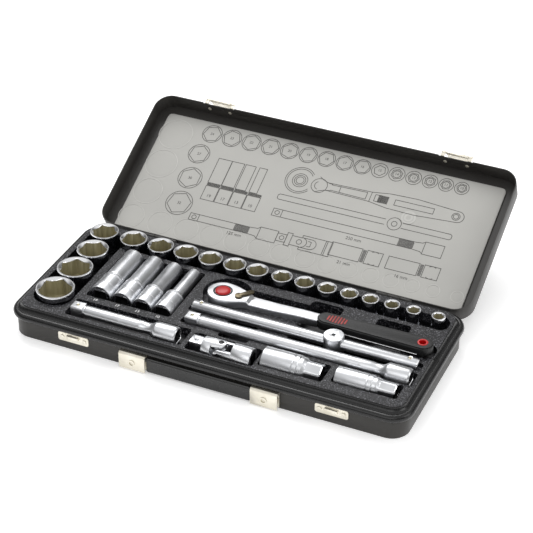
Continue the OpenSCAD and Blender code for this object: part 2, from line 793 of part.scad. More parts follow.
// Pear-shaped outline of the head, drawn in by inset
module head_outline(inset) {
  hull() {
    translate(RH) circle(RH_R - inset);
    translate([RH.x + 40, RH.y]) circle(4.6 - inset);
  }
}

module shank_outline() {
  polygon([[SHANK_X.x, RH.y - 5], [40, RH.y - 4.8], [SHANK_X.y, RH.y - 6.4],
           [SHANK_X.y, RH.y + 6.4], [40, RH.y + 4.8], [SHANK_X.x, RH.y + 5]]);
}

// Outline of the grip and of the steel core under it
module grip_outline(inset) {
  hull() {
    translate([GRIP_X.x, RH.y]) circle(GRIP_R.x - inset);
    translate([GRIP_X.y, RH.y]) circle(GRIP_R.y - inset);
  }
}

module ratchet_body() {
  color(CHROME)
    difference() {
      union() {
        span(RH_Z.x, RH_Z.y - 1) head_outline(0);
        span(RH_Z.y - 1 - EPS, RH_Z.y) head_outline(1);
        span(SHANK_Z.x, SHANK_Z.y) shank_outline();
        span(CORE_Z.x, CORE_Z.y) grip_outline(-0.5);
      }
      translate([RH.x, RH.y, 0]) {
        translate([0, 0, RH_Z.x - 1]) cylinder(r = 14.6, h = 3);
        translate([0, 0, GEAR_Z.x - EPS]) cylinder(r = GEAR_R + 0.15, h = GEAR_Z.y - GEAR_Z.x + 0.3);
        translate([0, 0, GEAR_Z.y]) cylinder(r = HUB_R + FIT, h = 10);
      }
      block([RH.x + 10, RH.y - 6, GEAR_Z.x], [1.8, RH.y + 6, GEAR_Z.y - 1]);
      translate([LEVER.x, LEVER.y, GEAR_Z.y - 2]) cylinder(r = 2.4 + FIT, h = 10);
      span(SHANK_Z.y - 0.7, SHANK_Z.y + 1) rounded(30, 80, RH.y - 3, RH.y + 3, 2.5);
      translate([GRIP_X.y, RH.y, 0]) cylinder(r = HANG_R, h = 60);
    }
}

module ratchet_cover() {
  color(CHROME)
    translate([RH.x, RH.y, RH_Z.x])
      difference() {
        cylinder(r = 14.55, h = 1.9);
        translate([0, 0, -1]) cylinder(r = 9.2, h = 4);
        for (a = [45 : 90 : 315])
          rotate(a) translate([11.8, 0, -EPS]) cylinder(r1 = 1.6, r2 = 0.6, h = 1);
      }
}

// Toothed wheel with its hub above and the square drive below
module ratchet_gear() {
  teeth = 36;
  tooth_h = 0.9;
  half = drive / 2 - 0.1;
  rim = [for (i = [0 : 2 * teeth - 1])
         let (a = i * 180 / teeth, r = GEAR_R - (i % 2) * tooth_h) [r * cos(a), r * sin(a)]];
  color(BLACK)
    translate([RH.x, RH.y, 0])
      difference() {
        union() {
          span(GEAR_Z.x, GEAR_Z.y - 0.1) polygon(rim);
          translate([0, 0, GEAR_Z.y - 0.2]) cylinder(r = HUB_R, h = RH_Z.y - GEAR_Z.y - 0.1);
          translate([0, 0, RH_Z.x - 0.4]) cylinder(r = 9, h = GEAR_Z.x - RH_Z.x + 0.5);
          block([-half, -half, RH_Z.x - 15.4], [half, half, RH_Z.x]);
        }
        translate([0, 0, 37]) cylinder(r = BUTTON_R + FIT, h = 20);
      }
}

module ratchet_pawl() {
  z = [GEAR_Z.x + 0.6, GEAR_Z.y - 1.6];
  color(CHROME)
    span(z.x, z.y)
      difference() {
        rounded(RH.x + 12.9, 0.8, RH.y - 4.6, RH.y + 4.6, 1.2);
        translate(RH) circle(GEAR_R + 0.4);
      }
}

module ratchet_button() {
  color(RED)
    translate([RH.x, RH.y, 0]) {
      translate([0, 0, 37 + BUTTON_TRAVEL + 0.2]) cylinder(r = BUTTON_R, h = RH_Z.y - 36.7 - BUTTON_TRAVEL);
      translate([0, 0, RH_Z.y + 0.5 - EPS]) cylinder(r1 = BUTTON_R, r2 = BUTTON_R - 1, h = 0.8);
    }
}

module ratchet_lever() {
  color(NICKEL)
    translate([LEVER.x, LEVER.y, 0]) {
      translate([0, 0, GEAR_Z.y - 0.6]) cylinder(r = 2.4, h = RH_Z.y - GEAR_Z.y + 1.2);
      translate([0, 0, RH_Z.y + 0.1]) cylinder(r = 4.2, h = 1.8);
      rotate(LEVER_TURN)
        span(RH_Z.y + 0.4, RH_Z.y + 2.2)
          hull() {
            translate([2, 0]) circle(2.2);
            translate([LEVER_L, 0]) circle(2.9);
          }
    }
}

module ratchet_grip() {
  color(BLACK)
    difference() {
      union() {
        span(GRIP_Z.x, GRIP_Z.y - 1.2) grip_outline(0);
        span(GRIP_Z.y - 1.2 - EPS, GRIP_Z.y) grip_outline(1.2);
      }
      translate([GRIP_X.y, RH.y, GRIP_Z.x - 1]) cylinder(r = 5.6, h = 20);
      pad_bars(GRIP_Z.y - 0.6, GRIP_Z.y + 1);
    }
}

// Raised bars of the thumb pad, inside an oval
module pad_bars(z0, z1) {
  for (i = [-3 : 3])
    let (half = 6 * sqrt(1 - pow(i / 4, 2)))
      block([PAD_X + 3.2 * i - 0.9, RH.y - half, z0], [PAD_X + 3.2 * i + 0.9, RH.y + half, z1]);
}

module ratchet_inlays() {
  color(RED) {
    translate([GRIP_X.y, RH.y, 0])
      difference() {
        translate([0, 0, GRIP_Z.x + 0.05]) cylinder(r = 5.55, h = GRIP_Z.y - GRIP_Z.x + 0.3);
        cylinder(r = HANG_R, h = 60);
      }
    pad_bars(GRIP_Z.y - 0.55, GRIP_Z.y + 0.35);
  }
}

// ---------- one line per node ----------

base_shell();
tray_insert();
latch_keepers();
handle_brackets();
carry_handle();
hinge_base_leaves();
hinge_pins();
base_rivets();
lid_shell();
lid_liner();
hinge_lid_leaves();
lid_rivets();
latch_mounts();
latch_hasp_left();
latch_hasp_right();
for (s = SOCKETS)
  socket(s);
for (d = DEEP)
  deep_socket(d);
spark_socket(SPARK_16);  // spark_socket_16
spark_insert(SPARK_16);  // spark_insert_16
spark_socket(SPARK_21);  // spark_socket_21
spark_insert(SPARK_21);  // spark_insert_21
extension_125();
extension_125_ball();
extension_250();
extension_250_ball();
t_bar_rod();
t_bar_balls();
t_bar_head();
joint_drive_yoke();
joint_cross();
joint_pins();
joint_socket_yoke();
ratchet_body();
ratchet_cover();
ratchet_gear();
ratchet_pawl();
ratchet_button();
ratchet_lever();
ratchet_grip();
ratchet_inlays();
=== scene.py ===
import json
import math
import bpy
import bmesh
from mathutils import Matrix, Vector


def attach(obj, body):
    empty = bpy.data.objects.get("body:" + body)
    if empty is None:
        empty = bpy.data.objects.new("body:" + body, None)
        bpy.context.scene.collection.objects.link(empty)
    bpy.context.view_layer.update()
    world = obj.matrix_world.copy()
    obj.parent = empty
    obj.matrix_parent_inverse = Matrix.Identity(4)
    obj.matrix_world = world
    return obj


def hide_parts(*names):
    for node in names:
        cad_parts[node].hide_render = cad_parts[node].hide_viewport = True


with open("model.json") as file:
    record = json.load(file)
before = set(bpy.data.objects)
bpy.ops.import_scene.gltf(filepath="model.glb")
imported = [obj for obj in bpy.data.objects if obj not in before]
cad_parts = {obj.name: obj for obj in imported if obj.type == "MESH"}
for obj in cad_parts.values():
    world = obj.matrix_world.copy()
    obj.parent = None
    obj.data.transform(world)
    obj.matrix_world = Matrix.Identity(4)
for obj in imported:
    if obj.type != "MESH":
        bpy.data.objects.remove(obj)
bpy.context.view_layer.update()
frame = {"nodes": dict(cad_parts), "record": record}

MM = 0.001
NODES = frame["nodes"]
BODY_OF = {}
for body, members in frame["record"]["behaviour"]["bodies"].items():
    for member in members:
        BODY_OF[member] = body

# ---------------------------------------------------------------- materials


class Mat:
    """A node material: a principled shader plus small helpers that add nodes."""

    def __init__(self, name, color, rough, metal=0.0, spec=0.5, coat=0.0, coat_rough=0.1):
        self.m = bpy.data.materials.new(name)
        self.m.use_nodes = True
        self.t = self.m.node_tree
        self.p = self.t.nodes["Principled BSDF"]
        self.p.inputs["Base Color"].default_value = (*color, 1)
        self.p.inputs["Roughness"].default_value = rough
        self.p.inputs["Metallic"].default_value = metal
        self.p.inputs["Specular IOR Level"].default_value = spec
        self.p.inputs["Coat Weight"].default_value = coat
        self.p.inputs["Coat Roughness"].default_value = coat_rough
        self.where = self.t.nodes.new("ShaderNodeTexCoord").outputs["Object"]

    def node(self, kind, **settings):
        n = self.t.nodes.new(kind)
        for key, value in settings.items():
            if key in n.inputs:
                n.inputs[key].default_value = value
            else:
                setattr(n, key, value)
        return n

    def link(self, a, b):
        self.t.links.new(a, b)

    def noise(self, scale, detail=2.0, stretch=None):
        n = self.node("ShaderNodeTexNoise", Scale=scale, Detail=detail)
        source = self.where
        if stretch:
            mapping = self.node("ShaderNodeMapping", Scale=stretch)
            self.link(source, mapping.inputs["Vector"])
            source = mapping.outputs["Vector"]
        self.link(source, n.inputs["Vector"])
        return n.outputs["Fac"]

    def ramp(self, value, stops):
        r = self.node("ShaderNodeValToRGB")
        ramp = r.color_ramp
        while len(ramp.elements) < len(stops):
            ramp.elements.new(0.5)
        for e, (at, color) in zip(ramp.elements, stops):
            e.position = at
            e.color = (*color, 1) if len(color) == 3 else (color[0],) * 3 + (1,)
        self.link(value, r.inputs["Fac"])
        return r.outputs["Color"]

    def range(self, value, lo, hi, out_lo, out_hi):
        r = self.node("ShaderNodeMapRange")
        for key, v in zip(("From Min", "From Max", "To Min", "To Max"), (lo, hi, out_lo, out_hi)):
            r.inputs[key].default_value = v
        self.link(value, r.inputs["Value"])
        return r.outputs["Result"]

    def color(self, socket):
        self.link(socket, self.p.inputs["Base Color"])
        return self

    def rough(self, socket):
        self.link(socket, self.p.inputs["Roughness"])
        return self

    def bump(self, value, distance, strength=1.0):
        b = self.node("ShaderNodeBump", Strength=strength, Distance=distance)
        self.link(value, b.inputs["Height"])
        if self.p.inputs["Normal"].is_linked:
            self.link(self.p.inputs["Normal"].links[0].from_socket, b.inputs["Normal"])
        self.link(b.outputs["Normal"], self.p.inputs["Normal"])
        return self


def enamel():
    a = Mat("case_enamel", (0.036, 0.034, 0.031), 0.42, spec=0.4)
    n = a.noise(900, 2)
    big = a.noise(9, 3)
    a.color(a.ramp(big, [(0.3, (0.024, 0.022, 0.020)), (0.7, (0.032, 0.030, 0.027))]))
    a.rough(a.range(big, 0.3, 0.7, 0.36, 0.5))
    a.bump(n, 0.00006, 0.5)
    return a.m


def tray_plastic():
    a = Mat("tray_grain_with_painted_glints_and_shade", (0.03, 0.03, 0.034), 0.5, spec=0.3)
    fine = a.noise(620, 3)
    # This noise and the bright top stop of its ramp below paint glints of the grain into the base colour: painted
    # highlight
    glint_noise = a.noise(760, 1)
    z = a.node("ShaderNodeSeparateXYZ")
    a.link(a.where, z.inputs["Vector"])
    grain_glints = a.ramp(glint_noise, [
        (0.44, (0.003, 0.003, 0.004)), (0.58, (0.010, 0.010, 0.013)), (0.70, (0.16, 0.16, 0.175))])
    # Below 23.5 mm the colour fades to a darker ramp without glints, and is fully speckled again by 26.2 mm: painted
    # shade in the deep trench and pockets
    deep = a.range(z.outputs["Z"], 0.0235, 0.0262, 0, 1)
    mix = a.node("ShaderNodeMix", data_type="RGBA")
    a.link(deep, mix.inputs["Factor"])
    a.link(a.ramp(fine, [(0.35, (0.003, 0.003, 0.004)), (0.7, (0.009, 0.009, 0.011))]), mix.inputs["A"])
    a.link(grain_glints, mix.inputs["B"])
    a.color(mix.outputs["Result"])
    a.rough(a.range(fine, 0.3, 0.7, 0.34, 0.55))
    a.bump(fine, 0.00018, 0.6)
    return a.m


def bead_black():
    a = Mat("bead_black", (0.006, 0.006, 0.006), 0.25, spec=0.4)
    n = a.noise(500, 2)
    a.rough(a.range(n, 0.3, 0.7, 0.2, 0.34))
    a.color(a.ramp(a.noise(30, 2), [(0.3, (0.005, 0.005, 0.0052)), (0.7, (0.008, 0.008, 0.0082))]))
    a.bump(n, 0.00001, 0.3)
    return a.m


def nickel():
    a = Mat("nickel_plate", (0.8, 0.76, 0.65), 0.34, metal=0.8)
    n = a.noise(260, 2, (1, 1, 0.25))
    a.color(a.ramp(a.noise(60, 3), [(0.3, (0.74, 0.70, 0.59)), (0.7, (0.84, 0.80, 0.70))]))
    a.rough(a.range(n, 0.3, 0.7, 0.26, 0.42))
    a.bump(n, 0.00004, 0.5)
    return a.m


def chrome(name, lo, hi, tint=(0.80, 0.81, 0.83), bump=0.00002):
    a = Mat(name, tint, (lo + hi) / 2, metal=1.0)
    n = a.noise(1400, 2)
    a.rough(a.range(a.noise(70, 2), 0.3, 0.7, lo, hi))
    dark = tuple(c * 0.93 for c in tint)
    a.color(a.ramp(a.noise(45, 2), [(0.35, dark), (0.65, tint)]))
    a.bump(n, bump, 0.6)
    return a.m


def olive_bore():
    a = Mat("socket_bore", (0.4, 0.36, 0.23), 0.42, metal=0.5)
    streak = a.noise(240, 3, (1, 1, 0.12))
    a.color(a.ramp(streak, [(0.3, (0.31, 0.285, 0.175)), (0.7, (0.50, 0.46, 0.31))]))
    a.rough(a.range(streak, 0.3, 0.7, 0.28, 0.48))
    a.bump(streak, 0.00006, 0.6)
    return a.m


def plain(name, color, rough, scale=400, spread=0.25, depth=0.00008, metal=0.0, coat=0.0):
    a = Mat(name, color, rough, metal=metal, coat=coat)
    n = a.noise(scale, 3)
    lo = tuple(c * (1 - spread) for c in color)
    hi = tuple(min(1, c * (1 + spread)) for c in color)
    a.color(a.ramp(a.noise(scale / 9, 2), [(0.3, lo), (0.7, hi)]))
    a.rough(a.range(n, 0.3, 0.7, rough * 0.85, min(1, rough * 1.15)))
    a.bump(n, depth, 0.6)
    return a.m


def foam():
    a = Mat("foam_sheet", (0.43, 0.43, 0.40), 0.85, spec=0.25)
    n = a.noise(1500, 3)
    big = a.noise(7, 3)
    a.color(a.ramp(big, [(0.3, (0.41, 0.405, 0.385)), (0.7, (0.47, 0.465, 0.44))]))
    a.bump(n, 0.00012, 0.5)
    a.bump(big, 0.0006, 0.3)
    a.p.inputs["Sheen Weight"].default_value = 0.1
    return a.m


M = {
    "enamel": enamel(),
    "tray": tray_plastic(),
    "bead": bead_black(),
    "nickel": nickel(),
    "satin": chrome("chrome_satin", 0.28, 0.40, (0.68, 0.69, 0.71)),
    # chrome with a dark tint: painted dark reflection of the tray and horizon on the standing sockets' outer walls
    "wall": chrome("chrome_wall_painted_dark_reflection", 0.14, 0.22, (0.36, 0.365, 0.385)),
    "bright": chrome("chrome_bright", 0.07, 0.14, (0.88, 0.885, 0.9), 0.000005),
    "bore": olive_bore(),
    "foam": foam(),
    "ink": plain("print_ink", (0.085, 0.083, 0.078), 0.7, 900, 0.15),
    "emboss": plain("pressed_foam", (0.50, 0.495, 0.47), 0.8, 900, 0.04),
    "handle": plain("handle_black", (0.012, 0.012, 0.012), 0.3, 300, 0.3),
    # near-black metal for pins and gear; inside drive holes and bores it is painted shade
    "black": plain("dark_steel", (0.03, 0.03, 0.031), 0.4, 500, 0.3, metal=0.6),
    "ball": plain("bearing_steel", (0.50, 0.46, 0.34), 0.18, 600, 0.1, metal=1.0, depth=0.00001),
    "rubber": plain("rubber_black", (0.014, 0.014, 0.014), 0.8, 500, 0.3),
    "red": plain("red_plastic", (0.45, 0.002, 0.003), 0.34, 500, 0.12, depth=0.00003),
    "red_pad": plain("red_rubber", (0.34, 0.035, 0.03), 0.5, 900, 0.25),
    "grip": plain("grip_black", (0.003, 0.003, 0.0033), 0.5, 700, 0.25, depth=0.0001),
    "bronze": plain("lever_nickel", (0.12, 0.10, 0.065), 0.3, 350, 0.25, metal=1.0),
    "white": plain("white_numeral", (0.55, 0.55, 0.55), 0.6, 700, 0.1),
}

# ---------------------------------------------------------------- mesh helpers


def shade(me, angle=30):
    bm = bmesh.new()
    bm.from_mesh(me)
    bmesh.ops.recalc_face_normals(bm, faces=bm.faces)
    for f in bm.faces:
        f.smooth = True
    for e in bm.edges:
        e.smooth = not (len(e.link_faces) == 2 and e.calc_face_angle(0) > math.radians(angle))
    bm.to_mesh(me)
    bm.free()


def bevel(ob, width, segments=2, angle=32):
    for e in ob.data.edges:
        e.use_edge_sharp = False
    b = ob.modifiers.new("edges", "BEVEL")
    b.width = width * MM
    b.segments = segments
    b.limit_method = "ANGLE"
    b.angle_limit = math.radians(angle)
    b.harden_normals = True
    return ob


def make(name, verts, faces, mats, body, hides=(), index=None, angle=30, matrix=None):
    me = bpy.data.meshes.new(name)
    me.from_pydata([(x * MM, y * MM, z * MM) for x, y, z in verts], [], faces)
    for m in mats:
        me.materials.append(M[m])
    if index:
        me.polygons.foreach_set("material_index", index)
    if matrix:
        me.transform(matrix)
    shade(me, angle)
    ob = bpy.data.objects.new(name, me)
    bpy.context.scene.collection.objects.link(ob)
    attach(ob, body)
    if hides:
        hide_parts(*hides)
    return ob


RATCHET = (-22.5, 12.5)


def copied(node, mat, width=0.0, segments=2, name=None):
    """The CAD node's shape with its flat faces joined and its edges rounded."""
    me = NODES[node].data.copy()
    me.materials.clear()
    me.materials.append(M[mat])
    bm = bmesh.new()
    bm.from_mesh(me)
    bmesh.ops.remove_doubles(bm, verts=bm.verts, dist=1e-6)
    bmesh.ops.dissolve_limit(bm, angle_limit=math.radians(0.6), verts=bm.verts, edges=bm.edges)
    bm.to_mesh(me)
    bm.free()
    me.name = name or node + "_shown"
    shade(me)
    ob = bpy.data.objects.new(me.name, me)
    bpy.context.scene.collection.objects.link(ob)
    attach(ob, BODY_OF[node])
    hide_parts(node)
    if width:
        bevel(ob, width, segments)
    return ob


def angles(*corners, count=60):
    """Angles of a ring's points: even steps, plus the exact corners of its polygons."""
    exact = sorted({round(c % 360, 3) for c in corners})
    even = [i * 360 / count for i in range(count)]
    near = 180 / count
    kept = [a for a in even if all(min(abs(a - c), 360 - abs(a - c)) > near for c in exact)]
    return sorted(kept + exact)


def hex_r(a, af, turn):
    return af / 2 / math.cos(math.radians((a - turn) % 60 - 30))


def square_r(a, side, limit):
    return min(limit, side / 2 / math.cos(math.radians((a + 45) % 90 - 45)))


def loft(rings, torus=True):
    """Vertices, faces and each face's band for rings of equal length."""
    n = len(rings[0])
    verts = [p for r in rings for p in r]
    faces, bands = [], []
    count = len(rings) if torus else len(rings) - 1
    for i in range(count):
        a, b = i * n, (i + 1) % len(rings) * n
        for j in range(n):
            k = (j + 1) % n
            faces.append((a + j, a + k, b + k, b + j))
            bands.append(i)
    if not torus:
        faces.append(tuple(range(n)))
        bands.append(0)
        faces.append(tuple(range((len(rings) - 1) * n, len(rings) * n)))
        bands.append(len(rings) - 2)
    return verts, faces, bands


def circle(r, z, turns):
    return [(r * math.cos(math.radians(a)), r * math.sin(math.radians(a)), z) for a in turns]


def ring(radius_at, z, turns):
    return [(radius_at(a) * math.cos(math.radians(a)), radius_at(a) * math.sin(math.radians(a)), z)
            for a in turns]


def to_x(at):
    """Local +Z along the case's +X."""
    turned = Matrix(((0, 0, 1, 0), (0, 1, 0, 0), (-1, 0, 0, 0), (0, 0, 0, 1)))
    return Matrix.Translation(Vector(at) * MM) @ turned


def to_y(at):
    """Local +Z along the case's +Y."""
    return Matrix.Translation(Vector(at) * MM) @ Matrix.Rotation(-math.pi / 2, 4, "X")


def upright(at):
    return Matrix.Translation(Vector(at) * MM)


# ---------------------------------------------------------------- sockets

DRIVE = 12.7
SQUARE_CORNERS = [45, 135, 225, 315]


def socket_rings(af, turn, r, r_drive, length, step, hex_depth, turns):
    """Closed profile of a socket, from the drive end's outside round to the drive hole."""
    out = [
        (r_drive - 0.9, 0), (r_drive - 0.3, 0.2), (r_drive, 0.8),
        (r_drive, step - 0.9), (r_drive - 0.25, step - 0.25), (max(r, r_drive - 1.0), step + 0.3),
        (r + (r_drive - r) * 0.25, step + 1.2), (r, step + 2.6),
        (r, length - 1.3), (r - 0.1, length - 0.7), (r - 0.3, length - 0.2), (r - 0.55, length),
    ]
    rings = [circle(a, z, turns) for a, z in out]
    mats = [0] * (len(out) - 4) + [1] * 4
    mouth = min(r - 1.25, af / math.sqrt(3) + 0.9)
    rings.append(circle(mouth, length, turns))
    steps = max(3, int((mouth - af / 2) / 0.4) + 1)
    for k in range(1, steps + 1):
        depth = (mouth - af / 2) * k / steps
        cone = mouth - depth
        rings.append(ring(lambda a: max(hex_r(a, af, turn), cone), length - depth * 0.8, turns))
        mats.append(1)
    floor = length - hex_depth
    bore = min(af, DRIVE) * 0.42
    rings.append(ring(lambda a: hex_r(a, af, turn), floor, turns))
    mats.append(2)
    rings.append(circle(bore, floor - (af / 2 - bore) * 0.25, turns))
    mats.append(2)
    rings.append(circle(bore, 15, turns))
    mats.append(2)
    rings.append(ring(lambda a: square_r(a, DRIVE, 8.4), 15, turns))
    mats.append(2)
    rings.append(ring(lambda a: square_r(a, DRIVE, 8.4), 0.6, turns))
    mats.append(2)
    rings.append(ring(lambda a: square_r(a, DRIVE, 8.4) + 0.6, 0, turns))
    mats += [1, 1, 1]
    return rings, mats


def build_socket(name, body, af, turn, r, r_drive, length, step, hex_depth, matrix, hides, skin="satin", bore="bore",
                 collar=False):
    turns = angles(*[turn + 60 * k for k in range(6)], *SQUARE_CORNERS)
    rings, mats = socket_rings(af, turn, r, r_drive, length, step, hex_depth, turns)
    if collar:
        band = [circle(a, z, turns) for a, z in (
            (r_drive, 11), (r_drive - 0.35, 11.4), (r_drive - 0.35, 12.2), (r_drive, 12.6), (r_drive, step - 7),
            (r_drive - 0.8, step - 6), (r_drive - 0.8, step - 3.6), (r_drive, step - 2.4))]
        rings[3:3] = band
        mats[3:3] = [0] * len(band)
    verts, faces, bands = loft(rings)
    mats = (mats + [1] * len(rings))[:len(rings)]
    index = [mats[b] for b in bands]
    return make(name, verts, faces, [skin, "bright", bore], body, hides, index, 28, matrix)


ROW_Y, COL_X, SOCKET_TOP = 66.8, -189, 42.5
SOCKETS = [
    (10, 15.2, 200, ROW_Y, 20), (11, 16.4, 172.5, ROW_Y, 50), (12, 17.6, 148.5, ROW_Y, 5),
    (13, 19, 124, ROW_Y, 35), (14, 20.4, 100, ROW_Y, 12), (15, 21.6, 74.5, ROW_Y, 48),
    (16, 22.8, 48.5, ROW_Y, 28), (17, 23.6, 22, ROW_Y, 8), (18, 25, -7, ROW_Y, 40),
    (19, 26, -34, ROW_Y, 22), (20, 27.4, -63, ROW_Y, 33), (21, 28, -93, ROW_Y, 18),
    (22, 29.6, -124, ROW_Y, 44), (23, 31, -157.5, ROW_Y, 30), (24, 32, -194, ROW_Y, 10),
    (27, 35.6, COL_X, 30, 26), (30, 39.6, COL_X, -9.6, 53), (32, 42, COL_X, -52.6, 34)]

# The standing sockets take the dark wall chrome, a painted dark reflection
for size, dia, x, y, turn in SOCKETS:
    h = 37 if size < 17 else 39
    r = dia / 2
    r_drive = max(dia, 22) / 2 if dia < 24 else r - 1
    build_socket(f"socket_{size}_shown", f"socket_{size}", size, turn, r, r_drive, h, h / 2, h * 0.55,
                 upright((x, y, SOCKET_TOP - h)), (f"socket_{size}",), "wall")

DEEP = [(19, 25.4, 23.8, -144.5), (17, 24, 21.8, -118.5), (13, 22.6, 18.4, -94.5), (10, 21.8, 15, -70.7)]
# bore=black gives the deep sockets near-black drive openings, bores and hex floors: painted shade inside the holes
for size, d0, d1, x in DEEP:
    build_socket(f"deep_socket_{size}_shown", f"deep_{size}", size, 30, d1 / 2, d0 / 2, 80, 31, 30,
                 to_y((x, -36.5, 33)), (f"deep_socket_{size}",), bore="black", collar=True)


def spark_socket(name, body, af, dia, at, hides):
    """Plug mouth at the start, ringed shoulder, wrench hexagon and square drive at the end."""
    r = dia / 2
    flat = (r - (1.4 if af < 18 else 2.2)) * math.sqrt(3)
    length, body_l = 64, 47
    turns = angles(*[60 * k for k in range(6)], *[30 + 60 * k for k in range(6)], *SQUARE_CORNERS)
    hexagon = lambda a: min(hex_r(a, flat, 0), flat / math.sqrt(3) - 0.5)
    rings, mats = [], []

    def add(points, mat=0):
        rings.append(points)
        mats.append(mat)

    for a, z in [(r - 0.8, 0), (r - 0.2, 0.3), (r, 1), (r, body_l - 14), (r - 0.5, body_l - 13.4),
                 (r - 0.5, body_l - 12.8), (r, body_l - 12.2), (r, body_l - 8.4), (r - 0.9, body_l - 7.6),
                 (r - 0.9, body_l - 3.6), (r - 1.5, body_l - 2.6), (flat / math.sqrt(3) - 0.3, body_l - 0.6)]:
        add(circle(a, z, turns))
    add(ring(hexagon, body_l + 0.2, turns))
    add(ring(hexagon, length - 0.9, turns), 1)
    add(ring(lambda a: hexagon(a) - 0.8, length, turns), 1)
    add(ring(lambda a: square_r(a, DRIVE, 8.4) + 0.5, length, turns), 1)
    # near-black drive square and bore: painted shade inside the hole
    add(ring(lambda a: square_r(a, DRIVE, 8.4), length - 0.6, turns), 2)
    add(ring(lambda a: square_r(a, DRIVE, 8.4), length - 15, turns), 2)
    add(circle(5.3, length - 15, turns), 2)
    add(circle(5.3, 40, turns), 2)
    add(ring(lambda a: hex_r(a, af, 30), 39.4, turns), 2)
    add(ring(lambda a: hex_r(a, af, 30), 1.0, turns), 1)
    mouth = af / math.sqrt(3) + 0.2
    add(ring(lambda a: max(hex_r(a, af, 30), mouth - 0.6), 0.6, turns), 1)
    add(circle(mouth, 0, turns), 1)
    verts, faces, bands = loft(rings)
    index = [mats[b] for b in bands]
    return make(name, verts, faces, ["satin", "bright", "black"], body, hides, index, 28, to_x(at))


spark_socket("spark_21_shown", "spark_21", 21, 27.6, (60, -64, 32.4), ("spark_socket_21",))
spark_socket("spark_16_shown", "spark_16", 16, 22, (138.5, -62, 34), ("spark_socket_16",))
copied("spark_insert_21", "rubber", 0.8)
copied("spark_insert_16", "rubber", 0.8)

# ---------------------------------------------------------------- bars


def drive_square(a):
    return square_r(a, DRIVE - 0.2, 8.1)


def knurl(r, z0, z1, turns, depth=0.22, pitch=1.1):
    """Rings of a diamond-knurled band."""
    rows = int((z1 - z0) / pitch * 2)
    out = []
    for i in range(rows + 1):
        z = z0 + (z1 - z0) * i / rows
        edge = min(1, min(i, rows - i) / 1.5)
        out.append([(
            (r - depth * edge * (0.5 + 0.5 * math.cos(math.pi * (j + i)))) * math.cos(math.radians(a)),
            (r - depth * edge * (0.5 + 0.5 * math.cos(math.pi * (j + i)))) * math.sin(math.radians(a)), z)
            for j, a in enumerate(turns)])
    return out


def extension(name, body, at, length, hides, band):
    turns = angles(*SQUARE_CORNERS, count=72)
    rings, mats = [], []

    def add(points, mat=0):
        rings.append(points)
        mats.append(mat)

    add(ring(lambda a: drive_square(a) * 0.5, 0, turns), 1)
    add(ring(lambda a: drive_square(a) - 1.3, 0.05, turns), 1)
    add(ring(lambda a: drive_square(a) - 0.35, 0.7, turns), 1)
    add(ring(drive_square, 1.6, turns), 0)
    add(ring(drive_square, 14.6, turns), 0)
    add(circle(5.9, 15.4, turns), 0)
    add(circle(5.9, 16.6, turns), 0)
    add(circle(6.45, 17.4, turns), 0)
    add(circle(6.6, 18.2, turns), 0)
    if band:
        add(circle(6.6, band[0] - 0.4, turns), 0)
        for points in knurl(6.6, band[0], band[1], turns):
            add(points, 0)
        add(circle(6.6, band[1] + 0.4, turns), 0)
    neck = length - 31
    for r, z in [(6.6, neck - 9), (6.1, neck - 8), (6.1, neck - 1.5), (6.4, neck), (7.4, neck + 2.6),
                 (8.9, neck + 5.0), (9.6, neck + 6.2), (9.95, neck + 7.4), (10, neck + 9),
                 (10, length - 2.4), (9.7, length - 1.2), (9.0, length - 0.3), (8.7, length)]:
        add(circle(r, z, turns), 0)
    add(ring(lambda a: square_r(a, DRIVE, 8.4) + 0.25, length, turns), 1)
    # near-black square hole: painted shade inside the drive hole
    add(ring(lambda a: square_r(a, DRIVE, 8.4), length - 0.6, turns), 2)
    add(ring(lambda a: square_r(a, DRIVE, 8.4), length - 16, turns), 2)
    verts, faces, bands = loft(rings, torus=False)
    index = [mats[b] for b in bands]
    return make(name, verts, faces, ["satin", "bright", "black"], body, hides, index, 28, to_x(at))


def ball_seat(name, body, at, hides, mats=("ball", "bright")):
    """Spring-loaded ball in its crimped seat, facing up."""
    turns = angles(count=28)
    rings = [circle(0.05, 1.3, turns)]
    for k in range(1, 8):
        a = math.radians(k * 11)
        rings.append(circle(2.0 * math.sin(a), 2.0 * math.cos(a) - 0.7, turns))
    rings += [circle(r, z, turns) for r, z in (
        (2.05, -0.15), (2.2, 0.12), (2.6, 0.14), (2.9, -0.1), (2.9, -0.5), (0.05, -0.5))]
    verts, faces, bands = loft(rings)
    index = [0 if b < 8 else 1 for b in bands]
    return make(name, verts, faces, list(mats), body, hides, index, 40, upright(at))


extension("extension_250_shown", "extension_250", (-42, -37, 36), 250, ("extension_250",), (172, 196))
ball_seat("extension_250_ball_shown", "extension_250", (-34.5, -37, 36 + 6.25), ("extension_250_ball",))
extension("extension_125_shown", "extension_125", (-159, -70, 36), 124, ("extension_125",), (58, 80))
ball_seat("extension_125_ball_shown", "extension_125", (-151.5, -70, 36 + 6.25), ("extension_125_ball",))


def t_bar():
    turns = angles(count=64)
    profile = [(0.4, 0), (4.6, 0), (5.5, 0.35), (6, 1.3),
               (6, 123.7), (5.65, 123.9), (5.65, 124.4), (6, 124.6),
               (6, 250.7), (5.5, 251.65), (4.6, 252), (0.4, 252)]
    rings = [circle(r, z, turns) for r, z in profile]
    verts, faces, bands = loft(rings, torus=False)
    index = [1 if b in (0, 1, 2, 8, 9, 10) else 0 for b in bands]
    make("t_bar_rod_shown", verts, faces, ["satin", "bright"], "t_bar", ("t_bar_rod",), index, 28,
         to_x((-44, -15, 37.6)))
    ball_seat("t_bar_ball_left", "t_bar", (-34.5, -15, 43.6), ("t_bar_balls",))
    ball_seat("t_bar_ball_right", "t_bar", (198.5, -15, 43.6), ())


t_bar()
copied("t_bar_head", "satin", 0.5, 3)


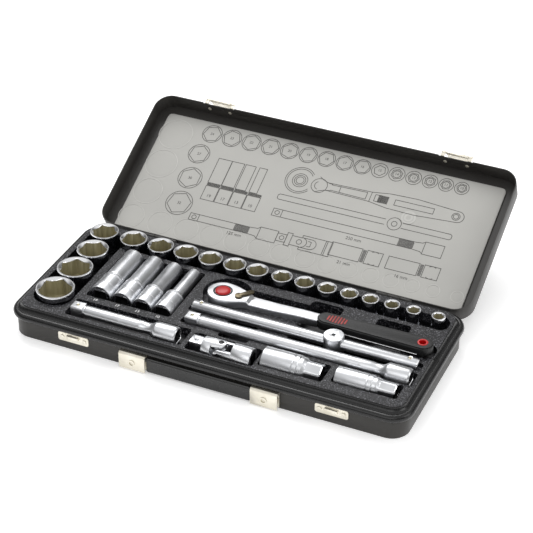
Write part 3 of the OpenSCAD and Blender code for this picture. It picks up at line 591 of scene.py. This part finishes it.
def head_dimple():
    # A black cup 0.5 mm deep on the head's top: painted shade standing in for the small hole
    turns = angles(count=32)
    rings = [circle(r, z, turns) for r, z in ((2.1, 0.04), (2.1, -0.5), (0.05, -0.5), (0.05, 0.04))]
    verts, faces, _ = loft(rings)
    head = NODES["t_bar_head"]
    top = max((head.matrix_world @ v.co).z for v in head.data.vertices)
    make("t_bar_head_dimple", verts, faces, ["black"], BODY_OF["t_bar_head"], (), None, 30,
         upright((115.5, -15, top / MM)))


head_dimple()
copied("joint_drive_yoke", "satin", 0.45)
copied("joint_socket_yoke", "satin", 0.45)
copied("joint_cross", "satin", 0.5)
copied("joint_pins", "black", 0.3)

# ---------------------------------------------------------------- ratchet


def rounded_section(x, y, half, z0, z1, r, count=8):
    """Rounded rectangle across X."""
    r = min(r, half * 0.98, (z1 - z0) / 2 * 0.98)
    pts = []
    corners = ((half - r, z1 - r, 0), (-half + r, z1 - r, 90), (-half + r, z0 + r, 180), (half - r, z0 + r, 270))
    for cy, cz, a0 in corners:
        for k in range(count):
            a = math.radians(a0 + 90 * k / (count - 1))
            pts.append((x, y + cy + r * math.cos(a), cz + r * math.sin(a)))
    return pts


def smooth(a, b, t):
    t = max(0.0, min(1.0, t))
    return a + (b - a) * t * t * (3 - 2 * t)


def ratchet_body():
    y = 12.5
    stations = []
    cx, big = -22.5, 16.6

    def half_width(x):
        if x < cx + 4:
            return math.sqrt(max(big * big - (x - cx) ** 2, 0.01))
        tangent = math.sqrt(big * big - 16)
        along = (x - cx - 4) / 40
        return smooth(tangent, 5.2, along) * (1 - 0.03 * math.sin(min(1, max(0, along)) * math.pi))

    xs = [cx - big + 0.02, cx - big + 0.25, cx - big + 0.8, cx - big + 1.8, cx - big + 3.2]
    xs += [cx - big + 5 + 1.6 * k for k in range(27)]
    for x in xs:
        stations.append((x, half_width(x), 28, smooth(44.6, 41.6, (x - 6) / 17), 1.6))
    last = xs[-1]
    for k in range(1, 25):
        x = last + (88 - last) * k / 24
        t = (x - last) / (88 - last)
        low, high = smooth(28, 33.4, t * 2.2), smooth(41.6, 43.2, (t - 0.25) / 0.6)
        stations.append((x, smooth(half_width(last), 6.6, t), low, high, 1.5))
    rings = [rounded_section(x, y, h, z0, z1, r) for x, h, z0, z1, r in stations]
    verts, faces, bands = loft(rings, torus=False)
    body = make("ratchet_body_shown", verts, faces, ["satin"], "ratchet", ("ratchet_body",), None, 35)
    # well that the button sinks into
    turns = angles(count=56)
    verts, faces, _ = loft([circle(8.4, 40.6, turns), circle(8.4, 48, turns)], torus=False)
    well = bpy.data.meshes.new("well")
    well.from_pydata([((x + RATCHET[0]) * MM, (y + RATCHET[1]) * MM, z * MM) for x, y, z in verts], [], faces)
    shade(well)
    cutter = bpy.data.objects.new("well", well)
    bpy.context.scene.collection.objects.link(cutter)
    cut = body.modifiers.new("well", "BOOLEAN")
    cut.operation, cut.solver, cut.object = "DIFFERENCE", "EXACT", cutter
    bpy.context.view_layer.update()
    done = bpy.data.meshes.new_from_object(body.evaluated_get(bpy.context.evaluated_depsgraph_get()))
    body.modifiers.remove(cut)
    bpy.data.objects.remove(cutter)
    shade(done, 35)
    body.data = done


ratchet_body()
copied("ratchet_cover", "satin", 0.25)
copied("ratchet_pawl", "satin", 0.2)
copied("ratchet_gear", "black", 0.25)


def core_edge():
    """Edge of the steel core that shows along the grip's front."""
    rings = []
    for k in range(25):
        x = 104 + 96 * k / 24
        y = 12.5 - 9.6 - 1.6 * (x - 96) / 106 - 0.3
        rings.append([(x, y + 0.5 * math.cos(math.radians(a)), 37.2 + 0.5 * math.sin(math.radians(a)))
                      for a in range(0, 360, 45)])
    verts, faces, _ = loft(rings, torus=False)
    make("ratchet_core_edge", verts, faces, ["bright"], "ratchet", (), None, 50)


core_edge()
copied("ratchet_button", "red", 0.5)


def hub():
    """Dark collar round the red button, and the button's domed face."""
    turns = angles(count=56)
    lip = [circle(r, z, turns) for r, z in ((8.35, 44.2), (8.6, 44.75), (9.6, 44.95), (10.5, 44.75), (10.7, 44.2))]
    verts, faces, _ = loft(lip)
    make("ratchet_hub_ring", verts, faces, ["black"], "ratchet", (), None, 50, upright((*RATCHET, 0)))
    button = NODES["ratchet_button"]
    top = max((button.matrix_world @ v.co).z for v in button.data.vertices) / MM
    dome = [circle(r, top + z, turns) for r, z in (
        (7.6, -0.9), (7.6, 0.0), (7.0, 0.35), (5.6, 0.7), (3.6, 0.95), (1.6, 1.05), (0.05, 1.08), (0.05, -0.9))]
    verts, faces, _ = loft(dome)
    make("ratchet_button_dome", verts, faces, ["red"], BODY_OF["ratchet_button"], (), None, 50,
         upright((*RATCHET, 0)))


hub()
copied("ratchet_lever", "bronze", 0.5)
copied("ratchet_grip", "grip", 2.6, 4)
inlays = copied("ratchet_inlays", "red", 0.3)
inlays.data.materials.append(M["red_pad"])
for f in inlays.data.polygons:
    if f.center.x < 0.15:
        f.material_index = 1

# ---------------------------------------------------------------- case

copied("base_shell", "enamel", 0.6)
tray = copied("tray_insert", "tray")
tray.data.materials.append(M["bead"])
for f in tray.data.polygons:
    c = f.center
    outside = max(abs(c.x) - 0.2161, abs(c.y) - 0.0871)
    if outside > -0.0063 and c.z < 0.0349:
        f.material_index = 1
copied("carry_handle", "handle", 0.4)
for n in ("latch_keepers", "handle_brackets", "base_rivets",
          "lid_rivets", "latch_mounts", "latch_hasp_left", "latch_hasp_right"):
    copied(n, "nickel", 0.25)
for n in ("hinge_base_leaves", "hinge_pins", "hinge_lid_leaves"):
    copied(n, "enamel", 0.25)
copied("lid_shell", "enamel", 0.35)

# ---------------------------------------------------------------- lid liner and its print

HINGE_Y, HINGE_Z, LID_OPEN = 95.5, 30.0, 154
LID = (Matrix.Translation(Vector((0, HINGE_Y, HINGE_Z)) * MM) @ Matrix.Rotation(math.radians(-LID_OPEN), 4, "X")
       @ Matrix.Translation(Vector((0, -HINGE_Y, -HINGE_Z)) * MM))
FACE_Z = 47.8
PAGE = LID @ Matrix.Translation(Vector((0, 93, FACE_Z)) * MM) @ Matrix.Rotation(math.pi, 4, "X")


def liner():
    """Foam sheet with the round marks that the sockets press into it."""
    u0, u1, v0, v1, r = -208.8, 208.8, 2.6, 172.8, 6
    vm = (v0 + v1) / 2
    step = 1.6
    nu, nv = int((u1 - u0) / step), int((v1 - v0) / step)
    marks = [(x, 93 - y, d / 2 - 0.8) for _, d, x, y, _ in SOCKETS]
    marks.append((115.5, 93 + 15, 9.5))
    verts, faces = [], []
    for j in range(nv + 1):
        for i in range(nu + 1):
            u, v = u0 + (u1 - u0) * i / nu, v0 + (v1 - v0) * j / nv
            w = 0.0
            for mu, mv, mr in marks:
                d = math.hypot(u - mu, v - mv)
                if d < mr + 4:
                    w -= 0.32 * math.exp(-((d - mr) / 1.1) ** 2)
            dx = max(abs(u) - (u1 - r), 0)
            dy = max(abs(v - vm) - ((v1 - v0) / 2 - r), 0)
            if math.hypot(dx, dy) > r:
                k = r / math.hypot(dx, dy)
                u = math.copysign(u1 - r + dx * k, u)
                v = vm + math.copysign((v1 - v0) / 2 - r + dy * k, v - vm)
            edge = min(u1 - abs(u), (v1 - v0) / 2 - abs(v - vm))
            if edge < 0.8:
                w -= 0.5
            verts.append((u, v, w))
    row = nu + 1
    for j in range(nv):
        for i in range(nu):
            a = j * row + i
            faces.append((a, a + 1, a + row + 1, a + row))
    rim = [i for i in range(row)] + [j * row + nu for j in range(1, nv + 1)]
    rim += [nv * row + i for i in range(nu - 1, -1, -1)] + [j * row for j in range(nv - 1, 0, -1)]
    base = len(verts)
    for k in rim:
        verts.append((verts[k][0], verts[k][1], -2.4))
    n = len(rim)
    for k in range(n):
        faces.append((rim[k], rim[(k + 1) % n], base + (k + 1) % n, base + k))
    faces.append(tuple(base + k for k in range(n)))
    make("lid_liner_shown", verts, faces, ["foam"], "lid", ("lid_liner",), None, 50, PAGE)


liner()


class Print:
    """Thin raised strips on the liner, all in one mesh."""

    def __init__(self):
        self.verts, self.faces = [], []

    def line(self, pts, closed=False, width=0.72, h=0.12):
        n = len(pts)
        left, right = [], []
        for i, (u, v) in enumerate(pts):
            a = pts[i - 1] if closed or i else pts[i]
            b = pts[(i + 1) % n] if closed or i < n - 1 else pts[i]
            d0 = (u - a[0], v - a[1]) if a != (u, v) else (b[0] - u, b[1] - v)
            d1 = (b[0] - u, b[1] - v) if b != (u, v) else d0
            l0, l1 = math.hypot(*d0) or 1, math.hypot(*d1) or 1
            n0, n1 = (-d0[1] / l0, d0[0] / l0), (-d1[1] / l1, d1[0] / l1)
            mx, my = n0[0] + n1[0], n0[1] + n1[1]
            ml = math.hypot(mx, my) or 1
            scale = min(1.8, 1 / max(0.3, (mx * n0[0] + my * n0[1]) / ml))
            mx, my = mx / ml * width / 2 * scale, my / ml * width / 2 * scale
            left.append((u + mx, v + my))
            right.append((u - mx, v - my))
        base = len(self.verts)
        for (lu, lv), (ru, rv) in zip(left, right):
            self.verts += [(lu, lv, h), (ru, rv, h), (ru, rv, -0.1), (lu, lv, -0.1)]
        for i in range(n if closed else n - 1):
            a, b = base + 4 * i, base + 4 * ((i + 1) % n)
            for k in range(4):
                self.faces.append((a + k, a + (k + 1) % 4, b + (k + 1) % 4, b + k))
        if not closed:
            self.faces.append((base, base + 1, base + 2, base + 3))
            e = base + 4 * (n - 1)
            self.faces.append((e, e + 1, e + 2, e + 3))

    def box(self, u0, u1, v0, v1, **kw):
        self.line([(u0, v0), (u1, v0), (u1, v1), (u0, v1)], True, **kw)

    def round(self, u, v, r, sides=36, turn=0, **kw):
        self.line([(u + r * math.cos(math.radians(turn + 360 * k / sides)),
                    v + r * math.sin(math.radians(turn + 360 * k / sides))) for k in range(sides)], True, **kw)

    def arc(self, u, v, r, a0, a1, steps=14, **kw):
        self.line([(u + r * math.cos(math.radians(a0 + (a1 - a0) * k / steps)),
                    v + r * math.sin(math.radians(a0 + (a1 - a0) * k / steps))) for k in range(steps + 1)], **kw)

    def hatch(self, u0, u1, v0, v1, pitch=1.5, **kw):
        span = v1 - v0
        n = int((u1 - u0 + span) / pitch)
        for k in range(1, n):
            s = u0 - span + k * pitch
            for flip in (0, 1):
                a, b = max(u0, s), min(u1, s + span)
                if b - a > 0.6:
                    va, vb = v0 + (a - s), v0 + (b - s)
                    if flip:
                        va, vb = v1 - (a - s), v1 - (b - s)
                    self.line([(a, va), (b, vb)], width=0.5, **kw)


def label(text, u, v, size, name, matrix=None, depth=0.12, bold=0.0):
    """Flat text as a mesh, on the liner unless a matrix says otherwise."""
    curve = bpy.data.curves.new(name, "FONT")
    curve.body = text
    curve.size = size * MM
    curve.align_x, curve.align_y = "CENTER", "CENTER"
    curve.extrude = depth * MM
    curve.offset = bold * MM
    ob = bpy.data.objects.new(name, curve)
    bpy.context.scene.collection.objects.link(ob)
    bpy.context.view_layer.update()
    me = bpy.data.meshes.new_from_object(ob.evaluated_get(bpy.context.evaluated_depsgraph_get()))
    bpy.data.objects.remove(ob)
    me.transform(Matrix.Translation(Vector((u, v, 0)) * MM))
    me.transform(matrix or PAGE)
    return me


def join(name, meshes, mat, body):
    bm = bmesh.new()
    for me in meshes:
        bm.from_mesh(me)
    out = bpy.data.meshes.new(name)
    bmesh.ops.remove_doubles(bm, verts=bm.verts, dist=1e-7)
    bm.to_mesh(out)
    bm.free()
    out.materials.clear()
    out.materials.append(M[mat])
    ob = bpy.data.objects.new(name, out)
    bpy.context.scene.collection.objects.link(ob)
    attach(ob, body)
    return ob


def lid_print():
    p = Print()
    texts = []
    # row of socket outlines with their sizes
    u, v, last = 160.2, 158.5, 8.2
    for size in range(10, 25):
        r = 8.2 + (size - 10) * 0.27
        if size > 10:
            u -= last + r + 1.7
        last = r
        icon(p, texts, u, v + (10 - size) * 0.25 + 2, r, size)
    for size, cu, cv, r in ((27, -150.5, 126.7, 13), (30, -147.5, 92.6, 14.4), (32, -146.2, 57.1, 16)):
        icon(p, texts, cu, cv, r, size)
    # deep sockets
    for k, (size, wide) in enumerate(((19, 17), (17, 15.4), (13, 12.6), (10, 9.6))):
        left = -124.5 + 17.3 * k
        p.box(left, left + wide, 92.5, 127)
        p.box(left, left + 16.4, 69, 88)
        p.hatch(left, left + 16.6, 88.6, 92, pitch=1.2)
        texts.append(label(str(size), left + 8.2, 75, 5.4, "t"))
    # extension bars
    for u0, length, half, v in ((-127, 108, 4.4, 44), (-36, 203, 4.8, 75)):
        p.box(u0, u0 + 11, v - half, v + half)
        p.round(u0 + 5.5, v, 2.6, 20)
        end = u0 + length
        p.line([(u0 + 11, v + half), (end - 34, v + half)])
        p.line([(u0 + 11, v - half), (end - 34, v - half)])
        p.hatch(end - 52, end - 34, v - half - 0.2, v + half + 0.2)
        p.line([(end - 34, v + half), (end - 25, v + half + 0.8), (end - 22, v + 7.6)])
        p.line([(end - 34, v - half), (end - 25, v - half - 0.8), (end - 22, v - 7.6)])
        p.box(end - 22, end, v - 8, v + 8)
    texts.append(label("125 mm", -68, 34.6, 5.6, "t"))
    texts.append(label("250 mm", 66, 64.5, 5.6, "t"))
    # sliding T-bar
    p.line([(92, 99.6), (-36, 99.6), (-38, 98), (-38, 94), (-36, 92.4), (92, 92.4)])
    p.line([(112, 92.4), (168, 92.4), (170, 94), (170, 98), (168, 99.6), (112, 99.6)])
    p.round(103, 96, 8, 32)
    p.round(103, 96, 3.2, 20)
    # universal joint
    v = 45
    p.box(-19, -8, v - 5, v + 5)
    p.round(-13, v, 2.6, 18)
    p.box(-8, -2, v - 8.4, v + 8.4)
    p.line([(-2, v + 6), (10, v + 6)])
    p.line([(-2, v - 6), (10, v - 6)])
    p.arc(11, v, 6, -80, 80)
    p.round(8, v, 3, 18)
    p.line([(18, v + 3.5), (22, v + 3), (22, v - 3), (18, v - 3.5)])
    p.line([(10, v + 9.4), (46, v + 9.4), (46, v - 9.4), (10, v - 9.4)])
    p.line([(10, v + 9.4), (10, v + 6.4), (22, v + 6.4)])
    p.line([(10, v - 9.4), (10, v - 6.4), (22, v - 6.4)])
    p.arc(22, v, 6.4, -90, 90)
    p.line([(38, v - 9.4), (38, v + 9.4)])
    p.line([(40, v - 9.4), (40, v + 9.4)])
    # spark-plug sockets
    for u0, size, half in ((45, 21, 8.6), (112, 16, 8.0)):
        p.box(u0, u0 + 36, 47 - half, 47 + half)
        for k in range(4):
            p.line([(u0 + 37.5 + k, 47 - half + 0.5), (u0 + 37.5 + k, 47 + half - 0.5)])
        p.box(u0 + 42, u0 + 60, 47 - half, 47 + half)
        p.arc(u0 + 51, 47 + half - 6, 6, 50, 130)
        p.arc(u0 + 51, 47 - half + 6, 6, -130, -50)
        texts.append(label(f"{size} mm", u0 + 21, 47 - half - 6, 5.6, "t"))
    # ratchet
    cu, cv = -21, 123
    p.line([(cu + 17 + 22 * t, cv + 14 - 9.5 * t * (2 - t)) for t in (0.2, 0.4, 0.6, 0.8, 1)])
    p.line([(cu + 17 + 22 * t, cv - 14 + 9.5 * t * (2 - t)) for t in (0.2, 0.4, 0.6, 0.8, 1)])
    p.arc(cu, cv, 17.6, 40, 320, 40)
    p.arc(cu, cv, 15.4, 35, 325, 40)
    p.round(cu, cv, 9, 30)
    p.round(cu, cv, 6.6, 26)
    p.round(cu, cv, 4.6, 24)
    p.round(cu + 24, cv - 1, 9.4, 30)
    p.arc(cu + 24, cv - 1, 5.4, 120, 260)
    for s in (-1, 1):
        p.line([(cu + 33, cv + s * 5.2), (65, cv + s * 6.4)])
        p.line([(cu + 38, cv + s * 3.6), (60, cv + s * 4.6)])
        p.line([(65, cv + s * 6.4), (86, cv + s * 9.6), (118, cv + s * 10.6), (150, cv + s * 8.4),
                (168, cv + s * 7.2)])
    p.line([(60, cv - 4.6), (60, cv + 4.6)])
    p.line([(28, cv - 4.4), (28, cv + 4.4)])
    p.line([(65, cv - 6.4), (65, cv + 6.4)])
    p.arc(168, cv, 7.2, -90, 90)
    p.box(70, 78, cv - 4.4, cv + 4.4)
    p.hatch(74, 86, cv - 5, cv + 5, pitch=1.2)
    p.box(94, 140, cv - 3.6, cv + 3.6)
    p.round(166, cv, 4.6, 22)
    p.round(166, cv, 3, 18)
    make("lid_print", p.verts, p.faces, ["ink"], "lid", (), None, 40, PAGE)
    pressed = Print()
    for _, d, x, y, _ in SOCKETS:
        pressed.round(x, 93 - y, d / 2 - 0.6, 48, width=0.9, h=0.05)
    for r in (4.0, 7.4):
        pressed.round(115.5, 108, r, 40, width=2.2, h=0.05)
    make("liner_marks", pressed.verts, pressed.faces, ["emboss"], "lid", (), None, 40, PAGE)
    join("lid_numbers", texts, "ink", "lid")


def icon(p, texts, u, v, r, size):
    """A socket seen from its mouth: outline, hexagon and number."""
    turn = (size * 23) % 60
    p.round(u, v, r, 34)
    p.round(u, v, r * (0.9 if size > 15 else 0.74), 6, turn)
    if size < 15:
        p.round(u, v, r * 0.5, 24)
    texts.append(label(str(size), u, v, 4.6, "t"))


lid_print()

# size numbers moulded in the tray in front of the deep sockets
numerals = [label(str(size), 0, 0, 5.2, "t", matrix=upright((x, -46.5, 35.15)), bold=0.12)
            for size, _, _, x in DEEP]
join("tray_numbers", numerals, "white", "case")

# ---------------------------------------------------------------- stage, light, camera

stage_floor = bpy.data.meshes.new("floor")
FLOOR_HALF, FLOOR_Z = 6, -0.0004
floor_corners = [(sx * FLOOR_HALF, sy * FLOOR_HALF, FLOOR_Z) for sx, sy in ((-1, -1), (1, -1), (1, 1), (-1, 1))]
stage_floor.from_pydata(floor_corners, [], [(0, 1, 2, 3)])
floor_mat = plain("floor_paint", (0.95, 0.95, 0.95), 0.8, 40, 0.01)
floor_mat.node_tree.nodes["Principled BSDF"].inputs["Emission Color"].default_value = (1, 1, 1, 1)
floor_mat.node_tree.nodes["Principled BSDF"].inputs["Emission Strength"].default_value = 0.35
stage_floor.materials.append(floor_mat)
floor = bpy.data.objects.new("floor", stage_floor)
bpy.context.scene.collection.objects.link(floor)

# sky that is dark near the horizon and bright overhead, so that chrome shows streaks
world = bpy.data.worlds.new("studio")
bpy.context.scene.world = world
world.use_nodes = True
sky = world.node_tree
where = sky.nodes.new("ShaderNodeTexCoord")
height = sky.nodes.new("ShaderNodeSeparateXYZ")
sky.links.new(where.outputs["Generated"], height.inputs["Vector"])
shades = sky.nodes.new("ShaderNodeValToRGB")
for _ in range(3):
    shades.color_ramp.elements.new(0.5)
SKY_STOPS = ((0.0, 0.5), (0.12, 0.16), (0.45, 0.25), (0.7, 0.95), (1.0, 1.0))
for e, (at, v) in zip(shades.color_ramp.elements, SKY_STOPS):
    e.position = at
    e.color = (v, v, v, 1)
sky.links.new(height.outputs["Z"], shades.inputs["Fac"])
sky.links.new(shades.outputs["Color"], sky.nodes["Background"].inputs["Color"])
sky.nodes["Background"].inputs["Strength"].default_value = 0.9
bpy.context.scene.view_settings.view_transform = "Standard"


def area(name, place, target, size, power):
    light = bpy.data.lights.new(name, "AREA")
    light.shape = "RECTANGLE"
    light.size, light.size_y = size
    light.energy = power
    ob = bpy.data.objects.new(name, light)
    ob.location = place
    ob.rotation_mode = "QUATERNION"
    ob.rotation_quaternion = (Vector(target) - Vector(place)).to_track_quat("-Z", "Y")
    bpy.context.scene.collection.objects.link(ob)
    return ob


area("key", (-0.7, 0.9, 1.6), (0, 0, 0), (1.4, 1.0), 20)
area("fill", (0.3, -1.6, 1.3), (0, 0, 0), (1.8, 1.2), 8)
area("side", (1.6, 0.2, 0.9), (0, 0, 0), (0.9, 0.9), 6)

camera = bpy.data.cameras.new("camera")
camera.sensor_width = 36
camera.lens = 118.7
az, el, roll, dist = math.radians(23.87), math.radians(34.14), math.radians(0.30), 1.79366
back = Vector((math.sin(az) * math.cos(el), -math.cos(az) * math.cos(el), math.sin(el)))
right = Vector((math.cos(az), math.sin(az), 0))
up = back.cross(right)
r2 = right * math.cos(roll) + up * math.sin(roll)
u2 = up * math.cos(roll) - right * math.sin(roll)
cam = bpy.data.objects.new("camera", camera)
cam.matrix_world = Matrix((
    (r2.x, u2.x, back.x, 0), (r2.y, u2.y, back.y, 0), (r2.z, u2.z, back.z, 0), (0, 0, 0, 1)))
cam.location = Vector((0.03666, -0.00761, 0.10462)) + back * dist
camera.clip_start, camera.clip_end = 0.05, 50
bpy.context.scene.collection.objects.link(cam)
bpy.context.scene.camera = cam

bpy.context.view_layer.update()
